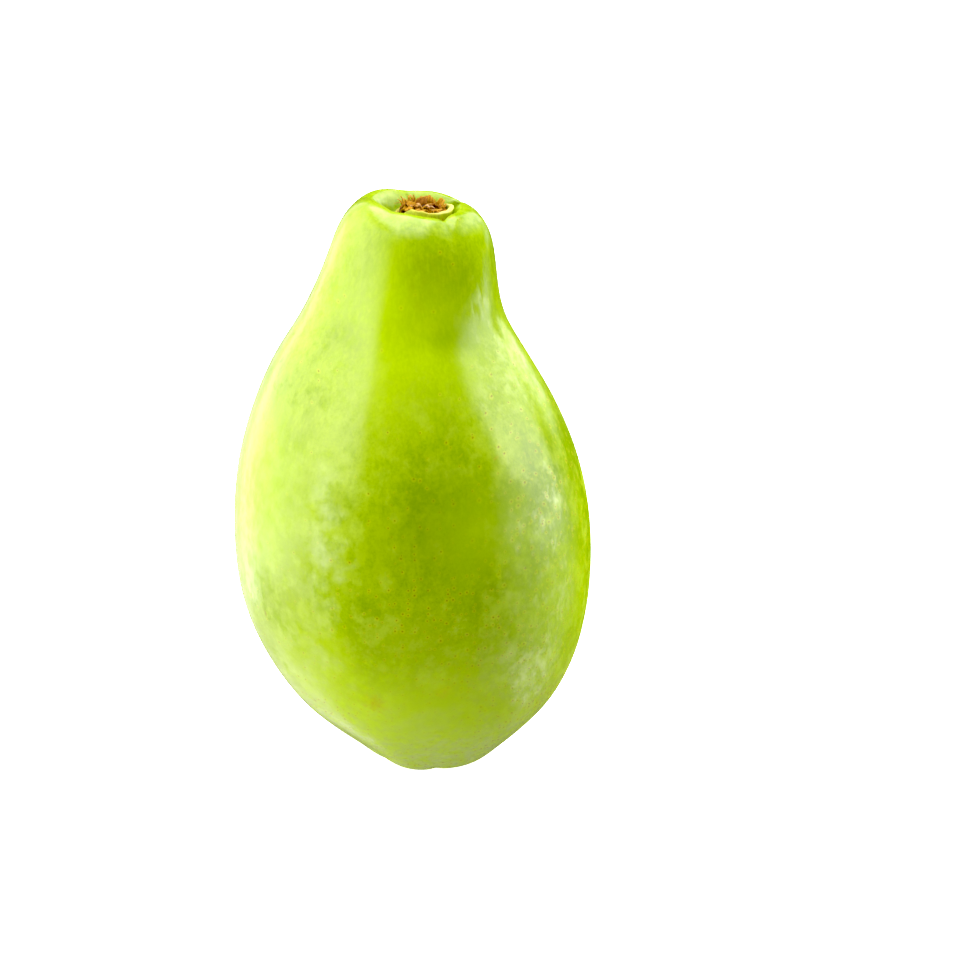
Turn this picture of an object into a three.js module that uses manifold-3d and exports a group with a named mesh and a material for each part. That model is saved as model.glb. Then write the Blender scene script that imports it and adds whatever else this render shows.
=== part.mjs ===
// A green papaya that stands upright on the five low lobes of its blossom end, with the torn stub of its
// stalk left in the hollow at the top. Millimetres, +Z up. The origin lies on the surface that the fruit
// stands on, under the middle of the fruit. The notch in its rim faces the front, -Y, and a little right, +X.
import * as THREE from "three";
import { mergeVertices } from "three/addons/utils/BufferGeometryUtils.js";
import Module from "manifold-3d";

const wasm = await Module();
wasm.setup();

const RADIANS = Math.PI / 180;

// Outline of the fruit
// Each point is [radius, height]. The line starts in the blossom scar, goes out under the lobes, up the
// belly and the neck, over the rim, and down into the hollow that holds the stub of the stalk.
const BLOSSOM_SCAR = [[0, 3.0], [1.5, 2.6], [2.9, 1.3]];
const LOBE_UNDERSIDE = [[5.2, -0.4], [9.5, -1.2], [14.5, 0.0]];
const BLOSSOM_CONE = [[22, 6.2], [30.4, 14], [38.4, 23.2], [44.9, 36]];
const BELLY = [[49, 50], [50.2, 65], [49.2, 80], [46.1, 95]];
const SHOULDER = [[40.9, 109], [34.6, 121]];
const NECK = [[28.4, 131], [24.7, 141], [22.3, 150]];
const RIM = [[20, 156.7], [16.6, 161.1], [12.8, 162.9]];
const HOLLOW = [[10.9, 161.6], [9.8, 159.6], [9.1, 157.6], [7.6, 156.4], [3.5, 156.2], [0, 156.2]];
const BODY = [...BLOSSOM_CONE, ...BELLY, ...SHOULDER, ...NECK];
const OUTLINE = [...BLOSSOM_SCAR, ...LOBE_UNDERSIDE, ...BODY, ...RIM, ...HOLLOW];
const SEAM_START_RADIUS = 4;
const HOLLOW_LOBE_REACH = 7;
const ROWS_PER_SPAN = 2;
const COLUMNS_PER_LOBE = 14;

// Seams between the five lobes that the flower's five parts leave on the fruit
// A seam starts at an angle in the blossom end and twists a little on its way to the rim. Its crease is
// deepest at the two ends and fades out along the skin.
const SEAMS = [
  { low: -138, high: -122, lowDepth: 0.9, lowReach: 34, highDepth: 0.4, highReach: 10 },
  { low: -84, high: -57, lowDepth: 0.7, lowReach: 14, highDepth: 1.5, highReach: 17 },
  { low: -4, high: 36, lowDepth: 0.8, lowReach: 20, highDepth: 1.4, highReach: 8 },
  { low: 66, high: 104, lowDepth: 0.7, lowReach: 16, highDepth: 0.5, highReach: 7 },
  { low: 142, high: 174, lowDepth: 0.9, lowReach: 24, highDepth: 0.7, highReach: 8 },
];
const CREASE_HALF_WIDTH = 1.3;
const CREASE_FADE = 1.3;
const COLUMN_CROWDING = 0.6;

// Height of the lobes over the seams between them, as [height on the fruit, millimetres]
const LOBE_SWELL = [[0, 0.8], [30, 0.7], [65, 0.6], [110, 0.8], [140, 0.9], [163, 0.6]];

// Sideways drift of the fruit's middle line, as [height, x, y]: the tip and the rim both lie to the right
const MIDDLE_LINE = [
  [0, 4.6, 0.6], [22, 3.6, 0.4], [50, 0.8, 0], [80, -0.4, -0.3], [108, -2.3, 0],
  [122, -3.2, 0.4], [132, -2.5, 0.8], [145, -0.4, 1.2], [163, 2.0, 1.5],
];
const RIM_TILT = 0.11;
const TILT_FROM_HEIGHT = 122;
const TILT_FULL_HEIGHT = 162;

// Stub of the stalk, measured from the middle of the hollow's floor and tilted with the rim
const STUB_PLACE = [2.9, 1.4, HOLLOW[HOLLOW.length - 1][1]];
const STUB_GAP = 0.35;
const RIND_RADIUS = 7.9;
const RIND_THICKNESS = 1.3;
const RIND_SHOULDER = 1.6;
const RIND_DISH = 2.2;
const LIP_HIGH = 5.4;
const LIP_LOW = 1.4;
const LIP_SIDE = -50;
const RIND_COLUMNS = 48;
const WOOD_RADIUS = RIND_RADIUS - RIND_THICKNESS - STUB_GAP;
const WOOD_TOP = 5.0;
const WOOD_ROOT = 3.4;
const WOOD_COLUMNS = 28;
const FIBRES = 60;
const SPLINTERS = 7;
const SPLINTER_SPAN = 7.0;

// The value at t of a smooth curve through the values at the knots: cubic spans with centred slopes.
function smoothThrough(knots, values, t) {
  const last = knots.length - 1;
  let i = 0;
  while (i < last - 1 && t > knots[i + 1]) i += 1;
  const secant = (k) => (values[k + 1] - values[k]) / (knots[k + 1] - knots[k]);
  const slope = (k) => {
    if (k === 0) return secant(0);
    if (k === last) return secant(last - 1);
    const before = knots[k] - knots[k - 1];
    const after = knots[k + 1] - knots[k];
    return (secant(k - 1) * after + secant(k) * before) / (before + after);
  };
  const span = knots[i + 1] - knots[i];
  const u = (t - knots[i]) / span;
  return (
    (2 * u ** 3 - 3 * u ** 2 + 1) * values[i] +
    (u ** 3 - 2 * u ** 2 + u) * span * slope(i) +
    (3 * u ** 2 - 2 * u ** 3) * values[i + 1] +
    (u ** 3 - u ** 2) * span * slope(i + 1)
  );
}

// One column of a table of [height, ...values], read at a height that is kept inside the table.
function readAt(table, column, height) {
  const knots = table.map((row) => row[0]);
  const inside = THREE.MathUtils.clamp(height, knots[0], knots[knots.length - 1]);
  return smoothThrough(knots, table.map((row) => row[column]), inside);
}

// Distance along the outline to each of its points.
const OUTLINE_KNOTS = OUTLINE.reduce((knots, point, i) => {
  if (i === 0) return [0];
  const [r, z] = OUTLINE[i - 1];
  return [...knots, knots[i - 1] + Math.hypot(point[0] - r, point[1] - z)];
}, []);
const OUTLINE_LENGTH = OUTLINE_KNOTS[OUTLINE_KNOTS.length - 1];
const FOOT_DISTANCE = OUTLINE_KNOTS[BLOSSOM_SCAR.length + 1];
const CREST_DISTANCE = OUTLINE_KNOTS[OUTLINE.length - HOLLOW.length - 1];
const WALL_DISTANCE = OUTLINE_KNOTS[OUTLINE.length - HOLLOW.length + 1];
const [, CREST_HEIGHT] = RIM[RIM.length - 1];

// Radius, height and outward direction of the outline at a distance along it.
function outlineAt(distance) {
  const at = (d, column) => smoothThrough(OUTLINE_KNOTS, OUTLINE.map((point) => point[column]), d);
  const step = 0.05;
  const before = Math.max(distance - step, 0);
  const after = Math.min(distance + step, OUTLINE_LENGTH);
  const along = new THREE.Vector2(at(after, 0) - at(before, 0), at(after, 1) - at(before, 1)).normalize();
  return { radius: at(distance, 0), height: at(distance, 1), outR: along.y, outZ: -along.x };
}

// Angle of a seam at a share of the way from the blossom end to the rim. Seam 5 is seam 0, one turn on.
function seamAngle(number, share) {
  const seam = SEAMS[number % SEAMS.length];
  const turn = number >= SEAMS.length ? 360 : 0;
  return (THREE.MathUtils.lerp(seam.low, seam.high, share) + turn) * RADIANS;
}

// Depth of a seam's crease at a distance along the outline and a distance to its side.
function creaseDepth(seam, distance, aside) {
  const fadeLow = THREE.MathUtils.clamp(1 - (distance - FOOT_DISTANCE) / seam.lowReach, 0, 1);
  const fadeHigh = THREE.MathUtils.clamp(1 - (WALL_DISTANCE - distance) / seam.highReach, 0, 1);
  const groove = Math.exp(-((aside / CREASE_HALF_WIDTH) ** 2));
  return groove * (seam.lowDepth * fadeLow ** CREASE_FADE + seam.highDepth * fadeHigh ** CREASE_FADE);
}

// A point of the skin: lobe number, share of the way across that lobe, and distance along the outline.
function skinPoint(lobe, across, distance) {
  const { radius, height, outR, outZ } = outlineAt(distance);
  const share = THREE.MathUtils.smoothstep(distance, FOOT_DISTANCE, CREST_DISTANCE);
  const from = seamAngle(lobe, share);
  const to = seamAngle(lobe + 1, share);
  const angle = from + (to - from) * across;
  const swell = -0.5 * readAt(LOBE_SWELL, 1, height) * Math.cos(2 * Math.PI * across);
  const crease =
    creaseDepth(SEAMS[lobe], distance, (angle - from) * radius) +
    creaseDepth(SEAMS[(lobe + 1) % SEAMS.length], distance, (to - angle) * radius);
  const offAxis = THREE.MathUtils.smoothstep(radius, 0, SEAM_START_RADIUS);
  const inHollow = THREE.MathUtils.smoothstep(distance, CREST_DISTANCE, CREST_DISTANCE + HOLLOW_LOBE_REACH);
  const push = (swell * (1 - inHollow) - crease) * offAxis;
  const r = radius + push * outR;
  const x = r * Math.cos(angle);
  const y = r * Math.sin(angle);
  const level = distance > CREST_DISTANCE ? CREST_HEIGHT : height;
  const tilt = RIM_TILT * THREE.MathUtils.smoothstep(level, TILT_FROM_HEIGHT, TILT_FULL_HEIGHT);
  const z = height + push * outZ - tilt * x;
  return [x + readAt(MIDDLE_LINE, 1, level), y + readAt(MIDDLE_LINE, 2, level), Math.max(z, 0)];
}

// Columns stand closer together beside a seam, so that several of them lie in its crease.
function acrossLobe(column) {
  const even = column / COLUMNS_PER_LOBE;
  return even - (COLUMN_CROWDING * Math.sin(2 * Math.PI * even)) / (2 * Math.PI);
}

// A closed surface through rings that have the same number of points, with a pole at either end.
function closedSurface(rings, firstPole, lastPole) {
  const count = rings[0].length;
  const points = [firstPole, ...rings.flat(), lastPole];
  const lastRing = 1 + (rings.length - 1) * count;
  const faces = [];
  for (let k = 0; k < count; k += 1) {
    const next = (k + 1) % count;
    faces.push(0, 1 + next, 1 + k, points.length - 1, lastRing + k, lastRing + next);
    for (let row = 0; row < rings.length - 1; row += 1) {
      const a = 1 + row * count + k;
      const b = 1 + row * count + next;
      faces.push(a, b, b + count, a, b + count, a + count);
    }
  }
  const geometry = new THREE.BufferGeometry();
  geometry.setAttribute("position", new THREE.Float32BufferAttribute(points.flat(), 3));
  geometry.setIndex(faces);
  return geometry;
}

function fruitGeometry() {
  const rows = (OUTLINE.length - 1) * ROWS_PER_SPAN;
  const rings = [];
  for (let row = 1; row < rows; row += 1) {
    const span = Math.floor(row / ROWS_PER_SPAN);
    const within = (row % ROWS_PER_SPAN) / ROWS_PER_SPAN;
    const next = OUTLINE_KNOTS[Math.min(span + 1, OUTLINE_KNOTS.length - 1)];
    const distance = THREE.MathUtils.lerp(OUTLINE_KNOTS[span], next, within);
    const around = [];
    for (let lobe = 0; lobe < SEAMS.length; lobe += 1) {
      for (let column = 0; column < COLUMNS_PER_LOBE; column += 1) {
        around.push(skinPoint(lobe, acrossLobe(column), distance));
      }
    }
    rings.push(around);
  }
  return closedSurface(rings, skinPoint(0, 0, 0), skinPoint(0, 0, OUTLINE_LENGTH));
}

// One ring of points round the stub's own middle, from a rule that gives [radius, height] at an angle.
function ring(columns, place) {
  return Array.from({ length: columns }, (_, column) => {
    const angle = (column / columns) * 2 * Math.PI;
    const [radius, height] = place(angle);
    return [radius * Math.cos(angle), radius * Math.sin(angle), height];
  });
}

// Height of the torn lip over the shoulder of the rind, tallest at the front right.
function lipHeight(angle) {
  const toHighSide = 0.5 + 0.5 * Math.cos(angle - LIP_SIDE * RADIANS);
  const ragged = 0.35 * Math.sin(5 * angle + 0.6) + 0.25 * Math.sin(11 * angle);
  return LIP_LOW + (LIP_HIGH - LIP_LOW) * toHighSide ** 0.8 + ragged;
}

// The rind of the stalk is a shallow dish with a wall that ends in the torn lip.
function rindGeometry() {
  const inner = RIND_RADIUS - RIND_THICKNESS;
  const lip = (angle, share) => RIND_SHOULDER + share * lipHeight(angle);
  const rings = [
    ring(RIND_COLUMNS, () => [RIND_RADIUS * 0.55, STUB_GAP]),
    ring(RIND_COLUMNS, () => [RIND_RADIUS * 0.9, STUB_GAP + 0.3]),
    ring(RIND_COLUMNS, () => [RIND_RADIUS, RIND_SHOULDER]),
    ring(RIND_COLUMNS, (angle) => [RIND_RADIUS, lip(angle, 0.6)]),
    ring(RIND_COLUMNS, (angle) => [RIND_RADIUS - 0.25, lip(angle, 0.9)]),
    ring(RIND_COLUMNS, (angle) => [RIND_RADIUS - RIND_THICKNESS * 0.5, lip(angle, 1)]),
    ring(RIND_COLUMNS, (angle) => [inner + 0.15, lip(angle, 0.85)]),
    ring(RIND_COLUMNS, (angle) => [inner, lip(angle, 0.5)]),
    ring(RIND_COLUMNS, () => [inner - 0.3, RIND_DISH]),
    ring(RIND_COLUMNS, () => [inner * 0.5, RIND_DISH]),
  ];
  return closedSurface(rings, [0, 0, STUB_GAP], [0, 0, RIND_DISH]);
}

// A repeatable draw of numbers between 0 and 1.
function seededDraw(seed) {
  let state = seed;
  return () => {
    state = (state * 1664525 + 1013904223) % 4294967296;
    return state / 4294967296;
  };
}

// A four-sided fibre that tapers from its root to a point.
function fibreGeometry(root, tip, thickness) {
  const along = new THREE.Vector3().subVectors(tip, root);
  const fibre = new THREE.ConeGeometry(thickness, along.length(), 4, 1);
  fibre.translate(0, along.length() / 2, 0);
  const coneAxis = new THREE.Vector3(0, 1, 0);
  fibre.applyQuaternion(new THREE.Quaternion().setFromUnitVectors(coneAxis, along.normalize()));
  fibre.translate(root.x, root.y, root.z);
  return fibre;
}

function solidFrom(geometry) {
  const bare = geometry.clone();
  bare.deleteAttribute("normal");
  bare.deleteAttribute("uv");
  const merged = mergeVertices(bare, 1e-4);
  return new wasm.Manifold(
    new wasm.Mesh({
      numProp: 3,
      vertProperties: new Float32Array(merged.attributes.position.array),
      triVerts: new Uint32Array(merged.index.array),
    }),
  );
}

function geometryFrom(solid) {
  const mesh = solid.getMesh();
  const geometry = new THREE.BufferGeometry();
  geometry.setAttribute("position", new THREE.BufferAttribute(mesh.vertProperties, 3));
  geometry.setIndex(new THREE.BufferAttribute(mesh.triVerts, 1));
  return geometry;
}

// The torn wood of the stalk: a lumpy plug, fibres that stand and lean out of it, and behind its middle a
// row of broad splinters that rises to a peak.
function woodGeometry() {
  const draw = seededDraw(7);
  const foot = RIND_DISH + STUB_GAP;
  const inside = WOOD_RADIUS - 0.3;
  const top = (share) => (angle) => {
    const lump = 0.5 * Math.sin(3 * angle + 1) + 0.4 * Math.sin(7 * angle + 4 * share);
    return [inside * share, WOOD_TOP - 1.4 * share ** 6 + lump * share + 0.3 * draw()];
  };
  const rings = [
    ring(WOOD_COLUMNS, () => [inside * 0.6, foot]),
    ring(WOOD_COLUMNS, () => [inside * 0.95, foot]),
    ...[1, 0.8, 0.55, 0.3].map((share) => ring(WOOD_COLUMNS, top(share))),
  ];
  const pieces = [closedSurface(rings, [0, 0, foot], [0, 0, WOOD_TOP - 0.6])];
  for (let i = 0; i < FIBRES; i += 1) {
    const angle = draw() * 2 * Math.PI;
    const out = inside * (0.25 + 0.6 * Math.sqrt(draw()));
    const lean = angle + (draw() - 0.5) * 2.4;
    const reach = 0.4 + 1.1 * draw();
    const root = new THREE.Vector3(out * Math.cos(angle), out * Math.sin(angle), WOOD_ROOT);
    const tip = new THREE.Vector3(root.x + reach * Math.cos(lean), root.y + reach * Math.sin(lean), 0);
    tip.clampLength(0, WOOD_RADIUS - 0.1);
    tip.z = WOOD_TOP + 0.4 + 1.6 * draw();
    pieces.push(fibreGeometry(root, tip, 0.45 + 0.25 * draw()));
  }
  for (let i = 0; i < SPLINTERS; i += 1) {
    const side = i / (SPLINTERS - 1) - 0.5;
    const root = new THREE.Vector3(side * SPLINTER_SPAN + 0.4, 2.4 - 2 * side ** 2, WOOD_ROOT - 0.4);
    const tip = new THREE.Vector3(side * SPLINTER_SPAN * 0.7, 3.0, WOOD_TOP + 2.9 - 4 * Math.abs(side));
    pieces.push(fibreGeometry(root, tip, 1.25));
  }
  return geometryFrom(pieces.map(solidFrom).reduce((whole, piece) => whole.add(piece)));
}

function mesh(name, geometry, colour, roughness) {
  const material = new THREE.MeshStandardMaterial({ color: colour, roughness, metalness: 0 });
  geometry.computeVertexNormals();
  const made = new THREE.Mesh(geometry, material);
  made.name = name;
  return made;
}

const papaya = new THREE.Group();

const fruit = mesh("fruit", fruitGeometry(), 0xa3c91a, 0.45);
papaya.add(fruit);

const stub = new THREE.Group();
stub.add(mesh("stem_rind", rindGeometry(), 0xc3c53a, 0.6));
stub.add(mesh("stem_wood", woodGeometry(), 0x9a5f22, 0.9));
stub.position.set(...STUB_PLACE);
stub.rotation.y = Math.atan(RIM_TILT);
papaya.add(stub);

// The origin goes under the middle of the fruit.
fruit.geometry.computeBoundingBox();
const middle = fruit.geometry.boundingBox.getCenter(new THREE.Vector3());
papaya.position.set(-middle.x, -middle.y, 0);

export default papaya;
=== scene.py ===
# %% [markdown]
# # A green papaya
# A papaya stands upright on the low ends of its five lobes. Its skin is thin, waxy and lime green, and the
# torn stub of its stalk sits in a hollow at the top. The solid model already gives the fruit and the stub
# their real size and place. This lesson dresses them: a smooth skin over the solid, a torn green rind, dry
# fibres, and then the finishes and the light.
#
# The first cell loads the solid model and keeps its parts, whose boxes later cells read.

# %% Load the solid model
import math
import random

import bpy
import numpy as np
from mathutils import Matrix, Vector, noise


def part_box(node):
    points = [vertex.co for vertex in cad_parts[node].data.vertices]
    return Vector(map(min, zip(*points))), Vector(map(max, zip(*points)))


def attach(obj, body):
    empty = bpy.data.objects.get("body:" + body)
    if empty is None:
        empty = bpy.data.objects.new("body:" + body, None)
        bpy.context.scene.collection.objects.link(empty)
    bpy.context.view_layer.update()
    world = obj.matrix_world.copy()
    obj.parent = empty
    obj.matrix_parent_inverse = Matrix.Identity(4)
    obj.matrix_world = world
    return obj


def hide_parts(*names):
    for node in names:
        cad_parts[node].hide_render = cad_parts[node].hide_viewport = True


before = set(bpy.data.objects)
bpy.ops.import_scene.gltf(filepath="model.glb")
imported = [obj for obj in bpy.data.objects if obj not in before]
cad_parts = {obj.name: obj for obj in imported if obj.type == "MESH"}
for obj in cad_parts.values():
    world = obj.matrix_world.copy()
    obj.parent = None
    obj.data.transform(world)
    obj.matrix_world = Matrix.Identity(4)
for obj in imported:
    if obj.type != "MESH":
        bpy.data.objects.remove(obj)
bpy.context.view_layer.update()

MM = 0.001
print("solids:", sorted(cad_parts))

# %% [markdown]
# ## Camera
# The picture is taken with a long lens from a little above the fruit, so that the hollow at its top shows
# as a flat ellipse. The camera could be aimed with a tracking constraint. A lens, a distance and one angle
# are enough here and are easier to check: how far the camera stands from its target, and how steeply it
# looks down.

# %% Place the camera
LENS_MM = 100
SENSOR_MM = 36
CAMERA_DISTANCE = 745 * MM
LOOK_DOWN = math.radians(20)
TARGET = Vector((18.7 * MM, 0, 83.5 * MM))

camera_data = bpy.data.cameras.new("camera")
camera_data.lens = LENS_MM
camera_data.sensor_width = SENSOR_MM
camera = bpy.data.objects.new("camera", camera_data)
bpy.context.scene.collection.objects.link(camera)
away = Vector((0, -math.cos(LOOK_DOWN), math.sin(LOOK_DOWN)))
camera.location = TARGET + away * CAMERA_DISTANCE
camera.rotation_euler = (math.pi / 2 - LOOK_DOWN, 0, 0)
bpy.context.scene.camera = camera
print("camera at", [round(c, 3) for c in camera.location])

# %% [markdown]
# ## Helpers
# Operators act on whatever is selected, and the loaded solids are selected, so one function leaves a single
# piece selected and active. Another opens a piece in edit mode for a step and closes it again, and a third
# applies a modifier. The others read and write a mesh's points as an array, which makes sculpting by
# formula quick, and keep a number for each point, for a material to read.

# %% Selection and point helpers
def only(piece):
    """Leave one piece selected and active."""
    bpy.ops.object.select_all(action="DESELECT")
    piece.select_set(True)
    bpy.context.view_layer.objects.active = piece


def in_edit_mode(piece, step):
    """Run a step on all of a piece's mesh in edit mode."""
    only(piece)
    bpy.ops.object.mode_set(mode="EDIT")
    bpy.ops.mesh.select_all(action="SELECT")
    step()
    bpy.ops.object.mode_set(mode="OBJECT")


def apply_modifier(piece, kind, **settings):
    """Add a modifier with its settings and apply it at once."""
    only(piece)
    modifier = piece.modifiers.new(kind.title(), kind)
    for name, value in settings.items():
        setattr(modifier, name, value)
    bpy.ops.object.modifier_apply(modifier=modifier.name)


def points_of(piece):
    """The piece's points as rows of x, y and z, in metres."""
    flat = np.empty(len(piece.data.vertices) * 3)
    piece.data.vertices.foreach_get("co", flat)
    return flat.reshape(-1, 3)


def set_points(piece, points):
    """Move the piece's points to new places."""
    piece.data.vertices.foreach_set("co", points.ravel())
    piece.data.update()


def normals_of(piece):
    """The piece's point normals as rows."""
    flat = np.empty(len(piece.data.vertices) * 3)
    piece.data.vertices.foreach_get("normal", flat)
    return flat.reshape(-1, 3)


def store(piece, name, values):
    """Keep one number for each point, for a material to read."""
    attribute = piece.data.attributes.new(name, "FLOAT", "POINT")
    attribute.data.foreach_set("value", np.asarray(values, dtype=np.float32))


# %% [markdown]
# ## The fruit
# The fruit grew as one body, so it is one mesh. It could be spun from an outline, but the solid already has
# its lobes, seams and lean, in small flat faces. So a copy of the solid is merged, its triangles are paired
# into quads, and a Subdivision Surface rounds it off. That gives smooth highlights and keeps every seam.

# %% Copy, merge and smooth the fruit
skin_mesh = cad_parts["fruit"].data.copy()
skin = bpy.data.objects.new("papaya_skin", skin_mesh)
bpy.context.scene.collection.objects.link(skin)
skin_mesh.materials.clear()


def merge_to_quads():
    """Weld the corners that share a place, then pair the triangles."""
    bpy.ops.mesh.remove_doubles(threshold=0.01 * MM)
    bpy.ops.mesh.tris_convert_to_quads(face_threshold=math.radians(50), shape_threshold=math.radians(60))


in_edit_mode(skin, merge_to_quads)
quads = sum(len(face.vertices) == 4 for face in skin.data.polygons)
print("fruit:", len(skin.data.polygons), "faces,", quads, "of them quads")
apply_modifier(skin, "SUBSURF", levels=2, render_levels=2)
only(skin)
bpy.ops.object.shade_smooth()
print("fruit after smoothing:", len(skin.data.polygons), "faces")

# %% [markdown]
# ## Low relief in the skin
# A real fruit is never as even as a formula. Broad, shallow swellings bend its highlights, and small dents
# break them. A Displace modifier could do this. Moving the points by code lets each layer have a size in
# millimetres and leaves the flat spot at the foot and the hollow under the stub alone.

# %% Swell and dent the skin
SWELL_WIDTH, SWELL_HEIGHT = 34 * MM, 0.35 * MM
DENT_WIDTH, DENT_HEIGHT = 9 * MM, 0.07 * MM
DENT_STRETCH = 0.6
FOOT_CLEAR = 8 * MM
fruit_low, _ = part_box("fruit")
rind_low, rind_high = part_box("stem_rind")


def smooth_step(value, start, end):
    """0 before the start, 1 after the end, and a soft rise between them."""
    share = np.clip((value - start) / (end - start), 0, 1)
    return share * share * (3 - 2 * share)


points = points_of(skin)
normals = normals_of(skin)
broad = np.array([noise.noise(Vector(p) / SWELL_WIDTH) for p in points])
small = np.array([noise.noise(Vector((p[0], p[1], p[2] * DENT_STRETCH)) / DENT_WIDTH) for p in points])
above_foot = smooth_step(points[:, 2], fruit_low.z, fruit_low.z + FOOT_CLEAR)
below_rim = 1 - smooth_step(points[:, 2], rind_low.z - 6 * MM, rind_low.z + 2 * MM)
relief = (broad * SWELL_HEIGHT + small * DENT_HEIGHT) * above_foot * below_rim
points += normals * relief[:, None]
print("relief from %.2f to %.2f mm" % (relief.min() / MM, relief.max() / MM))

# %% [markdown]
# ## The front of the rim and its furrow
# The rim of the hollow dips at the front by about a millimetre, which lets the stub show. Behind the right
# end of the stub a furrow is pressed into the wall of the hollow. A soft selection could push both in. A
# bell curve round the rim says the same in numbers: its angle, its width and its depth.

# %% Dip the rim and press the furrow
RIM_DIP, DIP_AT, DIP_WIDTH = 0.95 * MM, -86, 30
FURROW_DEPTH, FURROW_AT, FURROW_WIDTH = 0.9 * MM, 38, 7
rim_middle = (rind_low + rind_high) / 2
round_rim = np.degrees(np.arctan2(points[:, 1] - rim_middle.y, points[:, 0] - rim_middle.x))
at_front = np.exp(-((round_rim - DIP_AT) / DIP_WIDTH) ** 2)
on_crest = smooth_step(points[:, 2], rind_low.z - 4 * MM, rind_low.z + 3 * MM)
points[:, 2] -= RIM_DIP * at_front * on_crest

outward = points[:, :2] - np.array([rim_middle.x, rim_middle.y])
from_middle = np.linalg.norm(outward, axis=1)
in_furrow = np.exp(-((round_rim - FURROW_AT) / FURROW_WIDTH) ** 2) * on_crest
inner_wall = smooth_step(from_middle, 8.5 * MM, 10 * MM)
inner_wall *= 1 - smooth_step(from_middle, 11.3 * MM, 12.6 * MM)
pressed_in = FURROW_DEPTH * in_furrow * inner_wall
points[:, :2] += outward / from_middle[:, None] * pressed_in[:, None]
points[:, 2] -= pressed_in
set_points(skin, points)
print("furrow pressed in by %.2f mm at most" % (pressed_in.max() / MM))

# %% [markdown]
# ## Where the skin is hollow
# The material paints shade into the seams, so it needs to know where the skin dips. Each point is compared
# with the average of its neighbours, taken many times over, which is what a smooth brush would leave. The
# difference, in millimetres, is stored on the mesh: positive in a crease, negative on a ridge.
#
# The solid has a seam that cuts through the front right of the rim, where the real fruit is nearly smooth.
# The same measure fills it: there each point moves out by its own dip, less what is broad in that dip.

# %% Measure the creases
SMOOTHING_ROUNDS = 60
FILL_AT, FILL_WIDTH = -50, 34
FILL_HEIGHTS = 138 * MM, 150 * MM
FILL_RADII = 10.5 * MM, 12 * MM
edge_ends = np.array([edge.vertices[:] for edge in skin.data.edges])
neighbour_count = np.bincount(edge_ends.ravel(), minlength=len(points))


def average_of_neighbours(values):
    """For each point, the average of the rows of the points that share an edge with it."""
    total = np.zeros_like(values)
    np.add.at(total, edge_ends[:, 0], values[edge_ends[:, 1]])
    np.add.at(total, edge_ends[:, 1], values[edge_ends[:, 0]])
    return total / neighbour_count[:, None]


def smoothed_out(values):
    """Move each row halfway to its neighbours' average, many times over."""
    for _ in range(SMOOTHING_ROUNDS):
        values = 0.5 * values + 0.5 * average_of_neighbours(values)
    return values


normals = normals_of(skin)
dip = np.einsum("ij,ij->i", smoothed_out(points) - points, normals) / MM
broad_dip = smoothed_out(dip[:, None])[:, 0]
filled = np.exp(-((round_rim - FILL_AT) / FILL_WIDTH) ** 4)
filled *= smooth_step(points[:, 2], *FILL_HEIGHTS)
filled *= smooth_step(from_middle, *FILL_RADII)
points += normals * ((dip - broad_dip) * filled * MM)[:, None]
set_points(skin, points)
dip *= 1 - filled
store(skin, "dip", dip)
print("dip from %.2f to %.2f mm" % (dip.min(), dip.max()))

# %% [markdown]
# ## The stub of the stalk
# The stalk was pulled off, not cut. What is left is a ring of green rind with a torn lip, and inside it dry
# brown fibres. Both are modelled standing on the origin and are then tilted and carried into the hollow, so
# their shapes are easy to write down.

# %% Find the place of the stub
RIM_SLOPE = 0.11
RIM_TILT = math.atan(RIM_SLOPE)
STUB_HEIGHT = rind_high.z - rind_low.z
STUB_BASE = Vector((
    (rind_low.x + rind_high.x) / 2 - math.tan(RIM_TILT) * STUB_HEIGHT / 2,
    (rind_low.y + rind_high.y) / 2,
    rind_low.z + 0.5 * MM,
))
stub_place = Matrix.Translation(STUB_BASE) @ Matrix.Rotation(RIM_TILT, 4, "Y")


def carry_to_hollow(piece):
    """Tilt a finished piece of the stub and set it in the hollow, by its mesh."""
    piece.data.transform(stub_place)
    piece.data.update()


print("stub stands at", [round(c / MM, 1) for c in STUB_BASE], "mm")

# %% [markdown]
# ## The green rind
# The rind is a wall about a millimetre thick. Its torn lip stands high at the front and the right, where it
# curls, and low at the back and the left. It could be cut from a tube, but then its lip would be level. So a
# circle is extruded upward ring by ring, each ring is bent to its own height and radius by a formula, and
# Solidify gives the wall its thickness.

# %% Extrude the rind ring by ring
RIND_RADIUS = 7.7 * MM
RIND_COLUMNS = 96
RIND_RINGS = 9

bpy.ops.object.select_all(action="DESELECT")
bpy.ops.mesh.primitive_circle_add(vertices=RIND_COLUMNS, radius=RIND_RADIUS, fill_type="NOTHING")
rind = bpy.context.object
rind.name = "stalk_rind"


def raise_rings():
    """Extrude the open circle upward, one millimetre at a time."""
    for _ in range(RIND_RINGS):
        bpy.ops.mesh.extrude_region_move(TRANSFORM_OT_translate={"value": (0, 0, MM)})


in_edit_mode(rind, raise_rings)
print("rind:", len(rind.data.vertices), "points in", RIND_RINGS + 1, "rings")

# %% [markdown]
# ## Bend the rings
# Each ring takes its height and its radius from its share of the way up. The wall is drawn in at the foot
# and the lip, bulges between them, and rolls outward at the right. Fine furrows deepen upward. The lip is a
# list of angles in degrees, 0 at the right and -90 at the front, each with its height in millimetres. Three
# waves make it ragged. A row gives how many go round the stub, their shift and their height.

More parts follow.
